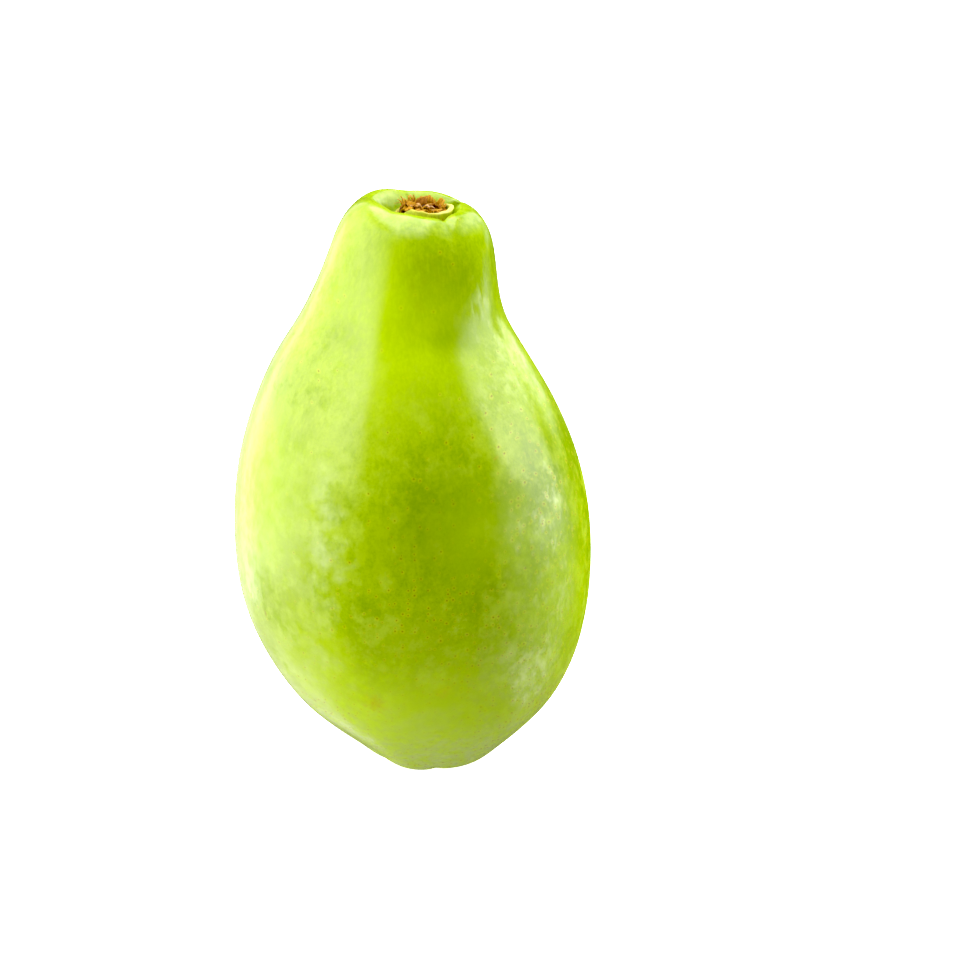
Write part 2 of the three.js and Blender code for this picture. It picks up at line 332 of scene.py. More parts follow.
# %% Bend the rings into the torn rind
RIND_WALL = 1.25 * MM
BULGE, DRAWN_IN, ROLLED_OUT = 0.3, 0.5, 1.1
LIP_HEIGHTS = [
    (-180, 2.8), (-150, 2.9), (-137, 3.5), (-129, 4.8), (-120, 5.6), (-105, 5.5), (-90, 5.4), (-70, 5.2),
    (-40, 5.2), (-15, 5.7), (0, 5.9), (30, 5.4), (60, 4.5), (90, 4.0), (140, 3.3), (180, 2.8),
]
LIP_WAVES = [(7, 0.6, 0.10), (15, 0, 0.09), (31, 2, 0.06)]


def lip_height(angle):
    """Height of the torn lip at an angle round the stub."""
    round_stub, heights = zip(*LIP_HEIGHTS)
    ragged = sum(height * np.sin(count * angle + shift) for count, shift, height in LIP_WAVES)
    return (np.interp(np.degrees(angle), round_stub, heights) + ragged) * MM


ring_points = points_of(rind)
angle = np.arctan2(ring_points[:, 1], ring_points[:, 0])
share = ring_points[:, 2] / (RIND_RINGS * MM)
to_right = 0.5 + 0.5 * np.cos(angle - math.radians(5))
swell = BULGE * np.sin(math.pi * share) - DRAWN_IN * ((1 - share) ** 3 + share ** 3)
swell += ROLLED_OUT * to_right ** 2 * share ** 4
furrows = 0.06 * np.sin(17 * angle + 2 * share) + 0.05 * np.sin(29 * angle + 1)
radius = RIND_RADIUS + (swell + furrows * share) * MM
ring_points[:, 0] = radius * np.cos(angle)
ring_points[:, 1] = radius * np.sin(angle)
ring_points[:, 2] = share * lip_height(angle)
set_points(rind, ring_points)
store(rind, "lip", share)
in_edit_mode(rind, lambda: bpy.ops.mesh.normals_make_consistent(inside=False))
apply_modifier(rind, "SOLIDIFY", thickness=RIND_WALL, offset=-1)
apply_modifier(rind, "SUBSURF", levels=1, render_levels=1)
print("rind:", len(rind.data.polygons), "faces")

# %% [markdown]
# ## The torn wood
# Under the fibres lies a lumpy plug, which closes the ring. Its near black is painted shade, for the dark
# depths between the fibres. A low dome from a UV sphere is enough for it, pushed about by noise.

# %% Press a dome into a lumpy plug
WOOD_RADIUS = 6.4 * MM
PLUG_TOP, DOME_HEIGHT = 4.9 * MM, 1.2 * MM
PLUG_BOTTOM, BOTTOM_SWELL = 1.6 * MM, 0.6 * MM
LUMP_WIDTH, LUMP_HEIGHT, LUMPS_FROM = 1.6 * MM, 0.9 * MM, 0.05

bpy.ops.object.select_all(action="DESELECT")
bpy.ops.mesh.primitive_uv_sphere_add(segments=48, ring_count=24, radius=WOOD_RADIUS)
plug = bpy.context.object
plug.name = "stalk_plug"
plug_points = points_of(plug)
up_share = plug_points[:, 2] / WOOD_RADIUS
dome = PLUG_TOP - DOME_HEIGHT + up_share * DOME_HEIGHT
underside = PLUG_BOTTOM + up_share * BOTTOM_SWELL
plug_points[:, 2] = np.where(up_share > 0, dome, underside)
lumps = np.array([noise.noise(Vector(p) / LUMP_WIDTH) for p in plug_points])
plug_points[:, 2] += np.where(up_share > LUMPS_FROM, lumps * LUMP_HEIGHT, 0)
set_points(plug, plug_points)
print("plug top at %.1f mm" % (plug_points[:, 2].max() / MM))

# %% [markdown]
# ## Fibres
# Nearly two hundred dry fibres stand and lean out of the plug. One fibre is modelled once: a cone is cut
# across into short lengths, so that it can bend. Each copy gets its own mesh, length, bend, twist and shade,
# from a seeded draw, so that every run makes the same stub.

# %% Model one fibre
FIBRE_SEED = 11
FIBRE_CUTS = 4
draw = random.Random(FIBRE_SEED)

bpy.ops.object.select_all(action="DESELECT")
bpy.ops.mesh.primitive_cone_add(vertices=6, radius1=1, radius2=0.45, depth=1, location=(0, 0, 0.5))
bpy.ops.object.transform_apply(location=True, rotation=False, scale=False)
fibre = bpy.context.object
fibre.name = "fibre"


def cut_across():
    """Cut the cone at even heights, right through."""
    for cut in range(1, FIBRE_CUTS):
        bpy.ops.mesh.select_all(action="SELECT")
        bpy.ops.mesh.bisect(plane_co=(0, 0, cut / FIBRE_CUTS), plane_no=(0, 0, 1))


in_edit_mode(fibre, cut_across)
fibre_points = points_of(fibre)
print("one fibre:", len(fibre.data.polygons), "faces")

# %% [markdown]
# ## Scatter the fibres
# Each fibre is rooted in the plug. Those at the left stand taller and straighter, and those at the right are
# short and curl over. A fibre is darker at its root than at its end, which is painted shade deep among the
# fibres.

# %% Copy the fibres with their own bends
FIBRES = 190
FIBRE_ROOT = PLUG_TOP - DOME_HEIGHT
ROOT_PAINTED_SHADE_RISE = 0.25


def bent_fibre(name, root, lean_angle, lean, length, width, flatness, curl, shade):
    """A copy of the fibre with its own mesh, rooted in the plug and bent over as it rises."""
    copy = bpy.data.objects.new(name, fibre.data.copy())
    bpy.context.scene.collection.objects.link(copy)
    up = fibre_points[:, 2]
    across = np.stack([fibre_points[:, 0] * width, fibre_points[:, 1] * width * flatness], axis=1)
    turn = draw.uniform(0, math.pi)
    x = across[:, 0] * math.cos(turn) - across[:, 1] * math.sin(turn)
    y = across[:, 0] * math.sin(turn) + across[:, 1] * math.cos(turn)
    bend = lean * up + curl * up ** 2
    x = x + length * np.sin(bend) * up * math.cos(lean_angle)
    y = y + length * np.sin(bend) * up * math.sin(lean_angle)
    z = length * up * np.cos(bend)
    set_points(copy, np.stack([x, y, z], axis=1) + np.array(root))
    # Darker towards the root: painted shade among the fibres.
    store(copy, "shade", np.clip(shade + ROOT_PAINTED_SHADE_RISE * (up - 0.5), 0, 1))
    return copy


fibres = []
for number in range(FIBRES):
    place = draw.uniform(0, 2 * math.pi)
    out = WOOD_RADIUS * (0.1 + 0.78 * math.sqrt(draw.random()))
    edge = out / WOOD_RADIUS
    to_left = 0.5 - 0.5 * math.cos(place) * edge
    root = (out * math.cos(place), out * math.sin(place), FIBRE_ROOT)
    tall = 1.6 + draw.random() * (1.2 + 1.1 * to_left)
    fibres.append(bent_fibre(
        "fibre_%d" % number,
        root,
        lean_angle=place + draw.uniform(-2.2, 2.2),
        lean=draw.uniform(0.0, 0.5) * (1 - 0.35 * to_left),
        length=tall * MM,
        width=draw.uniform(0.34, 0.66) * MM,
        flatness=draw.uniform(0.4, 1.0),
        curl=draw.uniform(0.2, 1.9) * (1 - 0.5 * to_left),
        shade=0.3 + 0.45 * draw.random(),
    ))
print(len(fibres), "fibres")

# %% [markdown]
# ## Torn sheets
# Where the wood split along its grain it left thin sheets that lean and curl: a broad brown one behind the
# middle, paler ones that sweep down in front of it, and a rolled one at the right. Each starts as a grid. A
# formula gives it a foot, a lean and a ragged top, and Solidify gives it a wall. A row names a sheet and
# gives, in millimetres and degrees, the place of its foot, its width, the way it faces and its height, and
# then its lean, its curl and its shade.

# %% Shape the torn sheets
SHEET_COLUMNS, SHEET_ROWS = 26, 12
SHEET_WALL = 0.28 * MM
SHEET_FOOT = 2.9
SHEETS = [
    ("brown_leaf", (1.0, 2.4), 9.4, 176, 4.5, 0.05, 0.45, 0.46),
    ("brown_fold", (-0.4, 1.2), 5.4, 166, 4.2, -0.1, 0.6, 0.36),
    ("brown_inner", (2.4, 0.8), 4.4, 195, 3.9, 0.3, -0.9, 0.33),
    ("golden_back", (4.2, 2.0), 4.2, 150, 4.3, 0.0, 0.5, 0.70),
    ("pale_sweep", (-2.4, -0.2), 4.6, 20, 4.5, 0.1, 0.8, 0.80),
    ("pink_wedge", (1.6, -1.2), 4.2, -12, 4.1, 0.1, 0.6, 0.97),
    ("tan_front", (-0.8, -3.4), 6.4, -6, 3.4, 0.1, 0.8, 0.72),
    ("right_roll", (4.6, -1.4), 3.4, -60, 3.6, 0.0, 1.4, 0.74),
    ("left_tongue", (-5.0, 0.6), 3.0, 80, 3.9, 0.1, 0.9, 0.60),
    ("left_lower", (-4.6, -2.2), 3.2, 40, 3.7, 0.1, 1.0, 0.66),
    ("left_back", (-3.0, 2.6), 3.4, 120, 4.2, 0.1, 1.0, 0.58),
]


def torn_sheet(name, foot, width, facing, tall, lean, curl, shade):
    """A thin sheet. It stands on its foot, across the way it faces, and leans and curls that way."""
    bpy.ops.object.select_all(action="DESELECT")
    bpy.ops.mesh.primitive_grid_add(x_subdivisions=SHEET_COLUMNS, y_subdivisions=SHEET_ROWS, size=1)
    sheet = bpy.context.object
    sheet.name = name
    shares = points_of(sheet)[:, :2] + 0.5
    side, up = shares[:, 0] - 0.5, shares[:, 1]
    phase = draw.uniform(0, 6)
    teeth = 0.09 * np.sin(13 * side + phase) + 0.05 * np.sin(37 * side + phase)
    torn_top = 1 - 1.7 * np.abs(side - 0.06) ** 2.2 + teeth
    rise = tall * torn_top * up
    bend = lean * up + curl * up ** 2
    across = side * width * (1 - 0.35 * up)
    forward = rise * np.sin(bend) - 0.9 * width * side ** 2 + 0.22 * np.sin(9 * side + 3 * up + phase)
    turned = math.radians(facing)
    x = foot[0] + across * math.cos(turned) + forward * math.sin(turned)
    y = foot[1] + across * math.sin(turned) - forward * math.cos(turned)
    z = SHEET_FOOT + rise * np.cos(bend)
    set_points(sheet, np.stack([x, y, z], axis=1) * MM)
    # Streaked across, and darker towards the foot as painted shade low in the stub.
    store(sheet, "shade", np.clip(shade + 0.08 * np.sin(side * 60 + phase) + 0.12 * (up - 0.5), 0, 1))
    apply_modifier(sheet, "SOLIDIFY", thickness=SHEET_WALL, offset=0)
    apply_modifier(sheet, "SUBSURF", levels=1, render_levels=1)
    return sheet


sheets = [torn_sheet(*row) for row in SHEETS]
print(len(sheets), "sheets")

# %% [markdown]
# ## One piece of wood
# The plug, the fibres and the sheets grew together, so they are joined into one mesh, and the fibre that
# was copied is removed. Both pieces of the stub are then shaded smooth and carried into the hollow.

# %% Join the wood into one piece
# The plug's near black is painted shade for the depths between the fibres.
PLUG_PAINTED_SHADE = 0.1
store(plug, "shade", np.full(len(plug.data.vertices), PLUG_PAINTED_SHADE))
bpy.data.objects.remove(fibre)
bpy.ops.object.select_all(action="DESELECT")
for piece in [*fibres, *sheets, plug]:
    piece.select_set(True)
bpy.context.view_layer.objects.active = plug
bpy.ops.object.join()
wood = bpy.context.object
wood.name = "stalk_wood"
only(wood)
bpy.ops.object.shade_smooth_by_angle(angle=math.radians(50))
only(rind)
bpy.ops.object.shade_smooth()
carry_to_hollow(rind)
carry_to_hollow(wood)
print("wood:", len(wood.data.polygons), "faces")

# %% [markdown]
# ## Materials
# Colours are written as they would be picked on a screen, and one function turns them to the linear values
# that Blender mixes. One more function adds a node, with its settings and its links, and gives one of its
# outputs. A third sets the constants of a shader. Every pattern reads Object coordinates turned to
# millimetres, so its scale is one over its real size. A Map Range node turns a measure into a share, and its
# limits stand under a plain name.

# %% Colour and node helpers
def colour(hex_text):
    """An sRGB colour such as '95B202' as linear red, green, blue and alpha."""
    parts = [int(hex_text[i:i + 2], 16) / 255 for i in (0, 2, 4)]
    linear = [p / 12.92 if p <= 0.04045 else ((p + 0.055) / 1.055) ** 2.4 for p in parts]
    return (*linear, 1)


def add(tree, kind, inputs, output=0, **settings):
    """Add a node. An input that is a socket is linked, any other value is set. Gives one output."""
    made = tree.nodes.new("ShaderNode" + kind)
    for name, value in settings.items():
        setattr(made, name, value)
    for key, value in inputs.items():
        if isinstance(value, bpy.types.NodeSocket):
            tree.links.new(value, made.inputs[key])
        else:
            made.inputs[key].default_value = value
    return made.outputs[output]


def set_values(shader, values):
    """Put constant values on a shader's inputs."""
    for name, value in values.items():
        shader.inputs[name].default_value = value


def new_material(name):
    """A material, its tree, its Principled shader, and Object coordinates in millimetres."""
    material = bpy.data.materials.new(name)
    material.use_nodes = True
    tree = material.node_tree
    metres = add(tree, "TexCoord", {}, "Object")
    in_mm = add(tree, "VectorMath", {0: metres, 1: (1 / MM, 1 / MM, 1 / MM)}, operation="MULTIPLY")
    return material, tree, tree.nodes["Principled BSDF"], in_mm


SOFT = {"interpolation_type": "SMOOTHSTEP"}
COLOURS = {"data_type": "RGBA"}
print("black is", colour("000000"), "and white is", colour("FFFFFF"))

# %% [markdown]
# ## Papaya skin
# The skin is green flesh under a thin cuticle of wax. The green drifts between yellower and deeper over
# about 30 mm, and a fine grain of under a millimetre runs through it. Both are Noise textures in the base
# colour, since they cover the back as well as the front, which painting would not.

# %% Mix the green of the skin
skin_material, tree, shader, in_mm = new_material("papaya_skin_waxy")
LIME = colour("92AF03")
DEEP = colour("739002")
GRAIN_DARK = colour("6A8804")
DRIFT_RANGE = {"From Min": 0.36, "From Max": 0.64}
GRAIN_RANGE = {"From Min": 0.56, "From Max": 0.3, "To Max": 0.4}

drift_place = add(tree, "Mapping", {0: in_mm, "Scale": (1, 1, 0.6)})
drift = add(tree, "TexNoise", {"Vector": drift_place, "Scale": 1 / 30, "Detail": 4})
drift_share = add(tree, "MapRange", {"Value": drift, **DRIFT_RANGE}, **SOFT)
base = add(tree, "Mix", {0: drift_share, 6: DEEP, 7: LIME}, 2, **COLOURS)

grain_place = add(tree, "Mapping", {0: in_mm, "Location": (3, 5, 7)})
grain = add(tree, "TexNoise", {"Vector": grain_place, "Scale": 1 / 0.7, "Detail": 3, "Roughness": 0.7})
grain_share = add(tree, "MapRange", {"Value": grain, **GRAIN_RANGE})
base = add(tree, "Mix", {0: grain_share, 6: base, 7: GRAIN_DARK}, 2, **COLOURS)

# %% [markdown]
# ## Growth streaks
# As the fruit swelled, its skin stretched into faint upright streaks, under a millimetre wide and clearest
# on the neck. Noise that is drawn out upward gives them, faded below the shoulder.

# %% Streak the neck
STREAK_PALE = colour("AEC206")
STREAK_RANGE = {"From Min": 0.42, "From Max": 0.7, "To Max": 0.3}
NECK_RANGE = {"From Min": 60, "From Max": 130, "To Min": 0.15}

position = {axis: add(tree, "SeparateXYZ", {0: in_mm}, axis) for axis in "XYZ"}
streak_place = add(tree, "Mapping", {0: in_mm, "Scale": (1, 1, 0.07)})
streaks = add(tree, "TexNoise", {"Vector": streak_place, "Scale": 1 / 0.9, "Detail": 3, "Roughness": 0.6})
streak_share = add(tree, "MapRange", {"Value": streaks, **STREAK_RANGE}, **SOFT)
on_neck = add(tree, "MapRange", {"Value": position["Z"], **NECK_RANGE}, **SOFT)
neck_streaks = add(tree, "Math", {0: streak_share, 1: on_neck}, operation="MULTIPLY")
base = add(tree, "Mix", {0: neck_streaks, 6: base, 7: STREAK_PALE}, 2, **COLOURS)

# %% [markdown]
# ## Clouds in the wax
# Wax lies unevenly: it is a little milky in clouds of 1 to 5 mm, and there it also mirrors more. One
# pattern of clouds therefore does both jobs. It lightens the green slightly, and further on it sets how
# much clear coat the skin has, so that a soft panel shows in it as a mottled pale patch and not as a plate.
# Patches of 20 mm and the fine grain are mixed in, and there is a little less wax towards the right.

# %% Cloud the wax
PATCH_SHARE, GRAIN_SHARE = 0.4, 0.16
LEFT_TO_RIGHT = {"From Min": -30, "From Max": 30, "To Min": 0.08, "To Max": -0.07}
WAX_RANGE = {"From Min": 0.64, "From Max": 0.93}

cloud_place = add(tree, "Mapping", {0: in_mm, "Location": (40, 40, 40), "Scale": (1, 1, 0.75)})
clouds = add(tree, "TexNoise", {"Vector": cloud_place, "Scale": 1 / 2.6, "Detail": 5, "Roughness": 0.7})
patches = add(tree, "TexNoise", {"Vector": in_mm, "Scale": 1 / 20, "Detail": 2})
leftward = add(tree, "MapRange", {"Value": position["X"], **LEFT_TO_RIGHT})
cloudy = add(tree, "Math", {0: patches, 1: PATCH_SHARE, 2: clouds}, operation="MULTIPLY_ADD")
speckled = add(tree, "Math", {0: grain, 1: GRAIN_SHARE, 2: cloudy}, operation="MULTIPLY_ADD")
waxy = add(tree, "Math", {0: speckled, 1: leftward})
wax = add(tree, "MapRange", {"Value": waxy, **WAX_RANGE}, **SOFT)

# %% [markdown]
# ## Where the wax was rubbed off
# Hands and packing have taken the wax from some places, and there the skin is a plain, clear green that
# mirrors almost nothing. One such place is the front and right of the neck, and another is the far right
# edge. A third, where the neck meets the right shoulder, is only half rubbed. The first is a product of soft
# limits in millimetres. A limit alone would look ruled, so noise is added to the measure first: upright
# streaks fray the lower end, and the clouds fray the left side.

# %% Rub the neck and the edge
SLANT = (-0.9, 0, 1)
STREAK_FRAY, CLOUD_FRAY = 26, 9
NECK_BOTTOM = {"From Min": 125, "From Max": 143}
NECK_TOP = {"From Min": 161, "From Max": 156}
NECK_LEFT = {"From Min": -8, "From Max": 2}
NECK_RIGHT = {"From Min": 22, "From Max": 19}
EDGE_RANGE = {"From Min": 49, "From Max": 52}
DULL_PLACE = (25.0, -28.0, 130.0)
DULL_RANGE = {"From Min": 15, "From Max": 3, "To Max": 0.5}

slanted = add(tree, "VectorMath", {0: in_mm, 1: SLANT}, "Value", operation="DOT_PRODUCT")
streaked = add(tree, "Math", {0: streaks, 1: STREAK_FRAY, 2: slanted}, operation="MULTIPLY_ADD")
frayed = add(tree, "Math", {0: clouds, 1: CLOUD_FRAY, 2: position["X"]}, operation="MULTIPLY_ADD")
rubbed = add(tree, "MapRange", {"Value": streaked, **NECK_BOTTOM}, **SOFT)
for measure, limit in [(frayed, NECK_LEFT), (position["X"], NECK_RIGHT), (position["Z"], NECK_TOP)]:
    inside = add(tree, "MapRange", {"Value": measure, **limit}, **SOFT)
    rubbed = add(tree, "Math", {0: rubbed, 1: inside}, operation="MULTIPLY")
far_right = add(tree, "MapRange", {"Value": frayed, **EDGE_RANGE}, **SOFT)
to_dull = add(tree, "VectorMath", {0: in_mm, 1: DULL_PLACE}, "Value", operation="DISTANCE")
dull = add(tree, "MapRange", {"Value": to_dull, **DULL_RANGE}, **SOFT)
for spot in (far_right, dull):
    rubbed = add(tree, "Math", {0: rubbed, 1: spot}, operation="MAXIMUM")

# %% [markdown]
# ## The bare middle
# The widest rubbed place is the middle of the front, from the shoulder down to just above the tip. Its sides
# and its lower end wander by a centimetre or two, so a broad noise of 9 mm moves those limits.

# %% Rub the middle of the front
SIDE_FRAY, TIP_FRAY = 60, -90
MIDDLE_LEFT = {"From Min": -4, "From Max": 15}
MIDDLE_TOP = {"From Min": 112, "From Max": 88}
MIDDLE_BOTTOM = {"From Min": -25, "From Max": -5}
MIDDLE_RIGHT = {"From Min": 56, "From Max": 39}

fray_place = add(tree, "Mapping", {0: in_mm, "Location": (20, 50, 30)})
fray = add(tree, "TexNoise", {"Vector": fray_place, "Scale": 1 / 9, "Detail": 6, "Roughness": 0.68})
wandering = add(tree, "Math", {0: fray, 1: SIDE_FRAY, 2: position["X"]}, operation="MULTIPLY_ADD")
above_tip = add(tree, "Math", {0: fray, 1: TIP_FRAY, 2: position["Z"]}, operation="MULTIPLY_ADD")
bare = add(tree, "MapRange", {"Value": wandering, **MIDDLE_LEFT}, **SOFT)
for measure, limit in [(position["Z"], MIDDLE_TOP), (above_tip, MIDDLE_BOTTOM), (wandering, MIDDLE_RIGHT)]:
    inside = add(tree, "MapRange", {"Value": measure, **limit}, **SOFT)
    bare = add(tree, "Math", {0: bare, 1: inside}, operation="MULTIPLY")
rubbed = add(tree, "Math", {0: rubbed, 1: bare}, operation="MAXIMUM")
print("skin so far:", len(tree.nodes), "nodes")

# %% [markdown]
# ## Bloom and mottle
# The milky clouds lighten the green, more of it low down. Below the shoulder a second, coarser noise of 7 mm
# mottles the green with a paler veil. The same noise frays the upper edge of the greyish tip, which is partly
# its own colour and partly painted light from the bright floor below.

# %% Lighten the green in clouds, mottle it and grey the tip
BLOOM = colour("B4C830")
VEIL = colour("B4CC40")
TIP_GREY_AND_FLOOR_LIGHT = colour("B9D048")
TIP_EDGE_FRAY = 130
BLOOM_BY_HEIGHT = {"From Min": 70, "From Max": 25, "To Min": 0.32, "To Max": 0.65}
MOTTLE_BY_HEIGHT = {"From Min": 145, "From Max": 75, "To Min": 0.1, "To Max": 0.45}
MOTTLE_RANGE = {"From Min": 0.46, "From Max": 0.66}
TIP_RANGE = {"From Min": 118, "From Max": 82, "To Max": 0.75}

bloom_most = add(tree, "MapRange", {"Value": position["Z"], **BLOOM_BY_HEIGHT})
bloom_share = add(tree, "Math", {0: wax, 1: bloom_most}, operation="MULTIPLY")
base = add(tree, "Mix", {0: bloom_share, 6: base, 7: BLOOM}, 2, **COLOURS)

veil_place = add(tree, "Mapping", {0: in_mm, "Location": (80, 80, 80)})
veil = add(tree, "TexNoise", {"Vector": veil_place, "Scale": 1 / 7, "Detail": 6, "Roughness": 0.68})
mottle_most = add(tree, "MapRange", {"Value": position["Z"], **MOTTLE_BY_HEIGHT})
mottle = add(tree, "MapRange", {"Value": veil, **MOTTLE_RANGE, "To Max": mottle_most}, **SOFT)
base = add(tree, "Mix", {0: mottle, 6: base, 7: VEIL}, 2, **COLOURS)

# The greyish tip: partly its own colour, partly painted light from the bright floor below.
tip_edge = add(tree, "Math", {0: veil, 1: TIP_EDGE_FRAY, 2: position["Z"]}, operation="MULTIPLY_ADD")
tip_and_floor_light = add(tree, "MapRange", {"Value": tip_edge, **TIP_RANGE}, **SOFT)
base = add(tree, "Mix", {0: tip_and_floor_light, 6: base, 7: TIP_GREY_AND_FLOOR_LIGHT}, 2, **COLOURS)

# %% [markdown]
# ## Freckles
# Papaya skin has breathing pores that cork over into freckles: a brown dot of about 0.4 mm in a pale yellow
# ring of about 1 mm. A Voronoi texture gives one point to each cell, and its distance draws the dot and
# the ring. In three dimensions most of those points would lie off the skin, so a flat pattern is laid on
# from the front, the side and below, each where the skin faces that way. The cell's random colour decides
# which cells keep their freckle, more of them low and to the right, and how large it is. Three patterns of
# 6.5, 3.1 and 1.7 mm spacing lie over each other. A row gives the spacing, a shift that sets the pattern
# apart, the share kept, the strength and the growth.

# %% Lay the skin out flat, in millimetres
LEVEL_FROM = 0.72
facing = add(tree, "TexCoord", {}, "Normal")
turned_to = {}
for axis in position:
    towards = add(tree, "SeparateXYZ", {0: facing}, axis)
    turned_to[axis] = add(tree, "Math", {0: towards}, operation="ABSOLUTE")
from_front = add(tree, "CombineXYZ", {"X": position["X"], "Y": position["Z"]})
from_side = add(tree, "CombineXYZ", {"X": position["Y"], "Y": position["Z"]})
from_below = add(tree, "CombineXYZ", {"X": position["X"], "Y": position["Y"]})
sideways = add(tree, "Math", {0: turned_to["X"], 1: turned_to["Y"]}, operation="GREATER_THAN")
upright = add(tree, "Mix", {0: sideways, 4: from_front, 5: from_side}, 1, data_type="VECTOR")
level = add(tree, "Math", {0: turned_to["Z"], 1: LEVEL_FROM}, operation="GREATER_THAN")
laid_flat = add(tree, "Mix", {0: level, 4: upright, 5: from_below}, 1, data_type="VECTOR")

# %% Add the freckles
FRECKLE_BROWN = colour("745C00")
FRECKLE_YELLOW = colour("C4C82A")
FRECKLE_LAYERS = [(6.5, 3.0, 0.45, 0.45, 0.9), (3.1, 17.0, 0.3, 0.4, 0.8), (1.7, 31.0, 0.5, 0.6, 1.1)]
LOW_RIGHT = (0.012, -0.003, -0.011)
LOW_RIGHT_RANGE = {"From Min": -1.1, "From Max": 0.0, "To Min": 0.04, "To Max": 1}
SMALLEST_DOT, LARGEST_DOT = 0.22, 0.68
RING_RANGE = {"From Min": 1.5, "From Max": 0.6}
DOT_RANGE = {"From Min": 0.55, "From Max": 0.2}
RING_STRENGTH = 0.6

low_right = add(tree, "VectorMath", {0: in_mm, 1: LOW_RIGHT}, "Value", operation="DOT_PRODUCT")
low_right_share = add(tree, "MapRange", {"Value": low_right, **LOW_RIGHT_RANGE})
dots = []
for spacing, shift, kept, strength, growth in FRECKLE_LAYERS:
    place = add(tree, "Mapping", {0: laid_flat, "Location": (shift, shift, 0)})
    cell = {"Vector": place, "Scale": 1 / spacing}
    distance = add(tree, "TexVoronoi", cell, "Distance", voronoi_dimensions="2D")
    luck = add(tree, "TexVoronoi", cell, "Color", voronoi_dimensions="2D")
    keep_luck = add(tree, "SeparateColor", {0: luck}, "Red")
    size_luck = add(tree, "SeparateColor", {0: luck}, "Green")
    allowed = add(tree, "Math", {0: low_right_share, 1: kept}, operation="MULTIPLY")
    chosen = add(tree, "Math", {0: keep_luck, 1: allowed}, operation="LESS_THAN")
    sizes = {"To Min": SMALLEST_DOT * growth / spacing, "To Max": LARGEST_DOT * growth / spacing}
    size = add(tree, "MapRange", {"Value": size_luck, **sizes})
    spread = add(tree, "Math", {0: distance, 1: size}, operation="DIVIDE")
    ring_most = RING_STRENGTH * strength
    ring = add(tree, "MapRange", {"Value": spread, **RING_RANGE, "To Max": ring_most}, **SOFT)
    ring_here = add(tree, "Math", {0: ring, 1: chosen}, operation="MULTIPLY")
    base = add(tree, "Mix", {0: ring_here, 6: base, 7: FRECKLE_YELLOW}, 2, **COLOURS)
    dot = add(tree, "MapRange", {"Value": spread, **DOT_RANGE, "To Max": strength}, **SOFT)
    dot_here = add(tree, "Math", {0: dot, 1: chosen}, operation="MULTIPLY")
    base = add(tree, "Mix", {0: dot_here, 6: base, 7: FRECKLE_BROWN}, 2, **COLOURS)
    dots.append(dot_here)
print(len(dots), "layers of freckles")

# %% [markdown]
# ## Marks of age
# A few marks are single ones: a rusty bruise low on the front, a yellow one by it, and small spots. Each is
# a soft ball in Object coordinates, its edge broken up by a noise of 1.6 mm. The scar where the flower sat
# is one as well. A row gives the place, the reach in millimetres, the colour and the strength.

# %% Add the single marks
MARKS = [
    ((-9.5, -42.0, 34.0), 5.0, "AE8A12", 0.65),
    ((9.1, -45.0, 39.0), 3.2, "C6BE2C", 0.6),
    ((23.3, -36.0, 103.0), 1.5, "C08A1E", 0.7),
    ((-40.7, -28.0, 54.7), 1.6, "8E7A20", 0.6),
    ((24.0, -44.0, 78.0), 1.7, "C2BE30", 0.6),
    ((13.4, -48.0, 79.6), 1.5, "C2BE30", 0.6),
    ((4.6, 0.6, 2.4), 3.4, "4A2E14", 0.95),
]


def soft_ball(place, uneven, fray, limits):
    """A share for a ball of skin round a place. An uneven pattern, times a length, frays its edge."""
    apart = add(tree, "VectorMath", {0: in_mm, 1: place}, "Value", operation="DISTANCE")
    frayed_apart = add(tree, "Math", {0: uneven, 1: fray, 2: apart}, operation="MULTIPLY_ADD")
    return add(tree, "MapRange", {"Value": frayed_apart, **limits}, **SOFT)


ragged_place = add(tree, "Mapping", {0: in_mm, "Location": (60, 60, 60)})
ragged = add(tree, "TexNoise", {"Vector": ragged_place, "Scale": 1 / 1.6, "Detail": 4, "Roughness": 0.65})
for place, reach, mark_colour, strength in MARKS:
    limits = {"From Min": reach * 1.9, "From Max": reach * 1.1, "To Max": strength}
    mark = soft_ball(place, ragged, reach * 1.8, limits)
    base = add(tree, "Mix", {0: mark, 6: base, 7: colour(mark_colour)}, 2, **COLOURS)
print(len(MARKS), "single marks")

# %% [markdown]
# ## Painted light and shade
# These broad places are painted light and shade, over several centimetres. Noise would put them anywhere,
# so each is a large soft ball. The middle of the front and the right of the neck are painted deeper green, as
# shade. The shoulder, the left of the neck, the sides and the foot are painted paler, as light from the
# panels and the bright floor. A row gives the place, the reach, the share and the colour.

# %% Paint light and shade in broad places
# Painted light and shade: the deep rows stand in for shade, and the pale rows for light.
PAINTED_LIGHT_AND_SHADE_PLACES = [
    ((9.0, -46.5, 90.0), 29, 0.5, "6A8602"),
    ((2.0, -30.0, 134.0), 30, 0.5, "B4D206"),
    ((20.0, -20.0, 140.0), 20, 0.4, "769402"),
    ((-22.0, -38.0, 48.0), 24, 0.45, "A6C208"),
    ((4.0, -38.0, 28.0), 38, 0.8, "BEDC28"),
    ((-11.0, -18.0, 146.0), 22, 0.24, "BEDE10"),
    ((21.0, -42.0, 82.0), 20, 0.4, "AECC14"),
    ((-40.0, -24.0, 88.0), 34, 0.6, "A6C208"),
    ((46.0, -34.0, 60.0), 34, 0.5, "AAC81E"),
]
for place, reach, share, painted_light_colour in PAINTED_LIGHT_AND_SHADE_PLACES:
    limits = {"From Min": reach * 1.5, "From Max": reach * 0.6, "To Max": share}
    painted_light_share = soft_ball(place, clouds, reach, limits)
    base = add(tree, "Mix", {0: painted_light_share, 6: base, 7: colour(painted_light_colour)}, 2, **COLOURS)

